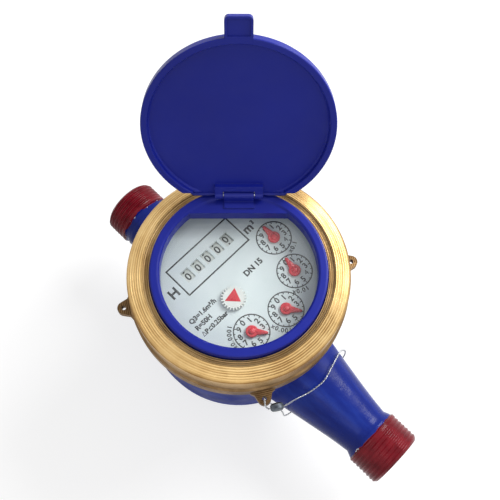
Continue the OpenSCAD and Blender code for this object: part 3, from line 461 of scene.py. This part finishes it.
def glyphs(text, size, left=False, bold=0.0):
    """Flat outline of a text in the built-in font, as points in mm about its middle and faces.

    A triangular counter closes when its outline is thickened, so glyphs with one stay thin.
    """
    curve = bpy.data.curves.new("glyphs", "FONT")
    curve.body = text
    curve.size = size
    curve.align_x = "LEFT" if left else "CENTER"
    curve.align_y = "CENTER"
    curve.resolution_u = 4
    curve.offset = 0.0 if set(text) & set("4Δ") else bold
    obj = bpy.data.objects.new("glyphs", curve)
    SCENE.collection.objects.link(obj)
    bpy.context.view_layer.update()
    mesh = bpy.data.meshes.new_from_object(obj.evaluated_get(bpy.context.evaluated_depsgraph_get()))
    points = [(v.co.x, v.co.y) for v in mesh.vertices]
    faces = [tuple(p.vertices) for p in mesh.polygons]
    bpy.data.objects.remove(obj)
    bpy.data.curves.remove(curve)
    bpy.data.meshes.remove(mesh)
    return points, faces


def inked(obj):
    """Gives flat print the thickness of an ink film, below its face."""
    film = obj.modifiers.new("film", "SOLIDIFY")
    film.thickness = INK_FILM * MM
    film.offset = -1
    return obj


class Print:
    """Flat ink shapes collected into one mesh. Its text reads along +Y, with its top towards -X."""

    def __init__(self, height):
        self.height = height
        self.verts = []
        self.faces = []

    def put(self, points, faces, x=0.0, y=0.0, degrees=90.0):
        """Adds flat points, turned and then moved."""
        first = len(self.verts)
        c, s = math.cos(math.radians(degrees)), math.sin(math.radians(degrees))
        self.verts += [(x + c * u - s * v, y + s * u + c * v, self.height) for u, v in points]
        self.faces += [tuple(first + i for i in f) for f in faces]

    def text(self, words, size, x, y, left=False, bold=0.0, degrees=90.0):
        """Adds a text that is centred on a point, or starts there."""
        self.put(*glyphs(words, size, left, bold), x, y, degrees)

    def ring(self, x, y, radius, width, count=96):
        """Adds a circle drawn with a line of some width."""
        points = []
        for r in (radius + width / 2, radius - width / 2):
            points += [polar(r, 360 * j / count) for j in range(count)]
        self.put(points, grid_faces(2, count), x, y, 0)

    def bar(self, x, y, length, width, degrees):
        """Adds a bar that starts at a point and runs in a direction."""
        h = width / 2
        self.put([(0, -h), (length, -h), (length, h), (0, h)], [(0, 1, 2, 3)], x, y, degrees)

    def arc_text(self, words, size, x, y, radius, middle, outward=False):
        """Adds text round a circle: its tops point outward and it runs clockwise, or the other way."""
        widths = {".": 0.32, "x": 0.6}
        steps = [size * widths.get(c, 0.62) for c in words]
        place = -sum(steps) / 2
        side = -1 if outward else 1
        for character, step in zip(words, steps):
            angle = middle + side * math.degrees((place + step / 2) / radius)
            place += step
            u, v = polar(radius, angle)
            self.text(character, size, x + u, y + v, bold=0.07, degrees=angle + 90 * side)


def sub_dials(ink):
    """Four circles with ticks, digits and a multiplier, each round its pointer."""
    labels = (("x0.0001", 241, True), ("x0.001", 302, False), ("x0.01", 331, False), ("x0.1", 18, False))
    for k, (label, middle, outward) in enumerate(labels, 1):
        x, y, _ = AXES[f"pointer_rotor_{k}"]
        ink.ring(x, y, SUB_DIAL_R, 0.46)
        for tick in range(20):
            angle = 180 - 18 * tick
            u, v = polar(SUB_DIAL_R, angle)
            ink.bar(x + u, y + v, 0.95 if tick % 2 == 0 else 0.7, 0.34, angle + 180)
        for digit in range(10):
            u, v = polar(SUB_DIAL_R - 2.2, 180 - 36 * digit)
            ink.text(str(digit), 3.2, x + u, y + v, bold=0.09)
        ink.arc_text(label, 2.5, x, y, SUB_DIAL_R + 1.6, middle, outward)


def counter_print(ink):
    """Frame round the counter's windows, with its unit and the mounting mark beside it."""
    left, right, bottom, top, line = -18.45, 14.3, -8.75, -22.1, 0.6
    for x in (bottom, top):
        ink.bar(x, left - line / 2, right - left + line, line, 90)
    for y in (left, right):
        ink.bar(top, y, bottom - top, line, 0)
    ink.text("m", 5.2, -12.4, 17.5, bold=0.18)
    ink.text("3", 2.6, -13.2, 20.6, bold=0.09)
    ink.text("H", 5.6, -13.4, -22.3, bold=0.18)


def ratings_print(ink):
    """Bore, and the three lines of plain ratings."""
    ink.text("DN 15", 3.3, 0.7, 7.3, bold=0.14)
    lines = (("Q3=1.6m³/h", -26.2), ("R=50H", -26.2), ("P≤0.25bar", -24.3))
    for row, (words, start) in enumerate(lines):
        ink.text(words, 2.7, -0.4 + 3.45 * row, start, left=True, bold=0.11)
    ink.text("Δ", 2.7, 6.5, -26.1, left=True)


def dial_print():
    """Black print of the dial."""
    ink = Print(DIAL_Z + PRINT_RISE)
    sub_dials(ink)
    counter_print(ink)
    ratings_print(ink)
    return inked(piece("dial_print", ink.verts, ink.faces, "ink", "meter"))


def drum_digits(k, reading):
    """Ten digits round a number drum, with the reading under the window."""
    axis = AXES[f"drum_rotor_{k}"]
    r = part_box(f"number_drum_{k}")[1][0] / MM - axis.x + PRINT_RISE
    verts, faces = [], []
    for digit in range(10):
        points, cells = glyphs(str(digit), 4.4, bold=0.1)
        flat = bmesh.new()
        made = [flat.verts.new((u, v, 0)) for u, v in points]
        for cell in cells:
            flat.faces.new([made[i] for i in cell])
        for cut in np.arange(-2.4, 2.41, 0.3):
            geometry = flat.verts[:] + flat.edges[:] + flat.faces[:]
            bmesh.ops.bisect_plane(flat, geom=geometry, plane_co=(0, cut, 0), plane_no=(0, 1, 0))
        first = len(verts)
        flat.verts.index_update()
        for v in flat.verts:
            angle = math.radians(36 * (digit - reading)) - v.co.y / r
            verts.append((axis.x + r * math.sin(angle), axis.y + v.co.x, axis.z + r * math.cos(angle)))
        faces += [tuple(first + v.index for v in f.verts) for f in flat.faces]
        flat.free()
    return inked(piece(f"drum_digits_{k}", verts, faces, "ink", f"drum_rotor_{k}"))


dial_print()
for number, value in enumerate(DRUM_READINGS, 1):
    drum_digits(number, value)


# Pointers and the star wheel's mark


def pointer_outline(hub, length, root, tip):
    """Outline of a disc with a tapering blade of two half widths to one side, about its hub."""
    taper = (root - tip) / length

    def blade_edge(a):
        return root / (math.sin(a) + taper * math.cos(a))

    corner = math.atan2(tip, length)
    neck = next(a for a in np.arange(corner, math.pi, 0.002) if blade_edge(a) <= hub)
    blade = [(a, blade_edge(a)) for a in np.linspace(corner, neck, 12)]
    disc = [(a, hub) for a in np.linspace(neck, math.pi, 34)[1:]]
    upper = [(r * math.cos(a), r * math.sin(a)) for a, r in blade + disc]
    return [(length + 0.25, 0.0)] + upper + [(x, -y) for x, y in upper[-2::-1]]


def pointer_form(k, reading):
    """Pointer with a domed hub and a ridge along its blade."""
    cx, cy, _ = AXES[f"pointer_rotor_{k}"]
    under, plate, dome_r, dome_h = DIAL_Z + 0.5, 0.75, 1.3, 0.7
    rim, rim_drop = 0.14, 0.396
    ridge_w, ridge_h, ridge_start, ridge_rise = 0.55, 0.26, 0.6, 1.6
    outline = pointer_outline(hub=2.45, length=6.1, root=1.75, tip=0.5)
    around, rings = len(outline), 14
    turn = math.radians(180 - 36 * reading)
    c, s = math.cos(turn), math.sin(turn)
    verts = []

    def put(x, y, z):
        verts.append((cx + c * x - s * y, cy + s * x + c * y, z))

    for j in range(around):
        put(*outline[j], under)
    for i in range(rings):
        share = 1 - (i / rings)
        into_rim = max(0.0, (share - 1 + rim) / rim)
        edge = rim_drop * (1 - math.sqrt(max(0.0, 1 - into_rim**2)))
        for j in range(around):
            x, y = outline[j][0] * share, outline[j][1] * share
            dome = dome_h * math.sqrt(max(0.0, 1 - (math.hypot(x, y) / dome_r) ** 2))
            ridge = ridge_h * math.exp(-((y / ridge_w) ** 2)) * smooth_step((x - ridge_start) / ridge_rise)
            put(x, y, under + plate - edge + max(dome, ridge))
    put(0, 0, under + plate + dome_h)
    faces = grid_faces(rings + 1, around)
    last = rings * around
    faces += [(last + j, last + (j + 1) % around, len(verts) - 1) for j in range(around)]
    faces.append(tuple(range(around))[::-1])
    obj = piece(f"pointer_form_{k}", verts, faces, "red_plastic", f"pointer_rotor_{k}", 50)
    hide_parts(f"pointer_{k}")
    return obj


def star_mark():
    """Red triangle on the flow indicator."""
    cx, cy, _ = AXES["star_rotor"]
    corners = [(-2.5, 3.0), (-1.45, -3.35), (3.15, 0.85)]
    low, high = DIAL_Z + 1.5, DIAL_Z + 1.62
    rows = ((1, low), (1, high - 0.04), (0.94, high))
    verts = [(cx + u * f, cy + v * f, z) for f, z in rows for u, v in corners]
    faces = grid_faces(3, 3) + [(6, 7, 8), (2, 1, 0)]
    return piece("star_mark", verts, faces, "red_plastic", "star_rotor")


for number, value in enumerate(POINTER_READINGS, 1):
    pointer_form(number, value)
star_mark()


# Sealing wire


def wire_line():
    """Smooth line of the sealing wire: out of the seal, through the lug, round the neck and back."""
    seal, lean = Vector((44.70, -24.20, 34.0)), Vector((0.5446, 0.8387, 0.0))
    way_round = (
        (41.5, -27.4, 36.6), (40, -26.2, 37.6), (39.3, -25.5, 36.8), (39.25, -25.5, 34.7),
        (39.3, -25.5, 32.4), (39.9, -25, 29.5), (41.2, -23.5, 24), (43.5, -21, 14),
        (45.5, -19.6, 4), (46.5, -18.3, -6), (47, -13.2, -13.7), (47.2, -4, -18.2),
        (47.4, 6, -17.6), (47.4, 13.7, -12.7), (47.2, 18.2, -4), (46.6, 18.2, 5),
        (45.8, 15.2, 11.8), (46.9, 10.4, 15.8), (48.2, 5.5, 17.8), (49.6, 0, 18.4),
        (49.2, -5, 17.8), (48, -9.6, 16.4), (47, -13.5, 18.5), (46.6, -17, 24), (46.6, -19.8, 30),
    )
    route = [seal - 0.15 * lean, seal - 2.8 * lean, seal - 3.5 * lean]
    route += [Vector(p) for p in way_round]
    route += [seal + 3.5 * lean, seal + 2.8 * lean, seal + 0.15 * lean]
    steps = 14
    line = []
    for i in range(len(route) - 1):
        p0, p1, p2, p3 = (route[min(max(j, 0), len(route) - 1)] for j in range(i - 1, i + 3))
        square, cube = 2 * p0 - 5 * p1 + 4 * p2 - p3, 3 * p1 - p0 - 3 * p2 + p3
        for t in (n / steps for n in range(steps)):
            line.append(p1 + 0.5 * ((p2 - p0) * t + square * t**2 + cube * t**3))
    line.append(route[-1])
    return [p + Vector((0, 0, PIPE_Z)) for p in line]


def seal_wire():
    """Two thin steel strands twisted together along the wire's line."""
    line = wire_line()
    strand_r, twist, sides = 0.185, 2.6, 6
    side = Vector((0, 0, 1))
    length, verts, faces = 0.0, [], []
    rings = [[], []]
    for i, p in enumerate(line):
        along = (line[min(i + 1, len(line) - 1)] - line[max(i - 1, 0)]).normalized()
        side = (side - along * side.dot(along)).normalized()
        other = along.cross(side)
        if i:
            length += (p - line[i - 1]).length
        for strand in (0, 1):
            turn = 2 * math.pi * length / twist + math.pi * strand
            middle = p + strand_r * (math.cos(turn) * side + math.sin(turn) * other)
            for j in range(sides):
                a = 2 * math.pi * j / sides
                rings[strand].append(middle + strand_r * (math.cos(a) * side + math.sin(a) * other))
    for strand in (0, 1):
        first = len(verts)
        verts += [tuple(p) for p in rings[strand]]
        faces += grid_faces(len(line), sides, first)
        faces += [tuple(first + j for j in range(sides))[::-1]]
        faces += [tuple(len(verts) - sides + j for j in range(sides))]
    obj = piece("seal_strands", verts, faces, "steel", "meter", 70)
    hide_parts("seal_wire")
    return obj


seal_wire()


# Light, floor and background


def area_light(name, place, size, power):
    """Square softbox at a place in mm, turned to the register."""
    target = Vector((0, 0, 60))
    data = bpy.data.lights.new(name, "AREA")
    data.shape = "RECTANGLE"
    data.size, data.size_y = size * MM, size * MM
    data.energy = power
    light = bpy.data.objects.new(name, data)
    light.location = Vector(place) * MM
    light.rotation_euler = (target - Vector(place)).to_track_quat("-Z", "Y").to_euler()
    SCENE.collection.objects.link(light)


def floor():
    """Pale floor that keeps the shadow and fades to white far off."""
    bpy.ops.mesh.primitive_plane_add(size=6, location=(0, 0, -0.0002))
    plane = bpy.context.object
    plane.name = "floor"
    material = bpy.data.materials.new("floor")
    n = Nodes(material, "ShaderNodeOutputMaterial")
    place = n.add("ShaderNodeTexCoord", output="Object")
    distance = n.add("ShaderNodeVectorMath", {0: place}, output="Value", operation="LENGTH")
    near, far, near_glow, far_glow = 0.2, 1.2, 0.66, 0.8
    level = n.math("MULTIPLY", n.seen_directly(), n.spread(distance, near_glow, far_glow, near, far))
    diffuse = n.add("ShaderNodeBsdfDiffuse", {"Color": (0.5, 0.5, 0.5)})
    glow = n.add("ShaderNodeEmission", {"Color": (1, 1, 1), "Strength": level})
    n.feed(n.surface, n.add("ShaderNodeAddShader", {0: diffuse, 1: glow}))
    plane.data.materials.append(material)


def sky():
    """Soft white sky, brighter where it is seen than where it lights."""
    world = bpy.data.worlds.new("sky")
    SCENE.world = world
    n = Nodes(world, "ShaderNodeOutputWorld")
    soft = n.add("ShaderNodeBackground", {"Color": (1, 1, 1), "Strength": 0.42})
    white = n.add("ShaderNodeBackground", {"Color": (1, 1, 1), "Strength": 1.0})
    n.feed(n.surface, n.add("ShaderNodeMixShader", {0: n.seen_directly(), 1: soft, 2: white}))


area_light("key", (60, 390, 400), 280, 2.7)
area_light("fill", (300, -260, 420), 300, 0.35)
floor()
sky()
SCENE.view_settings.view_transform = "Standard"

bpy.context.view_layer.update()
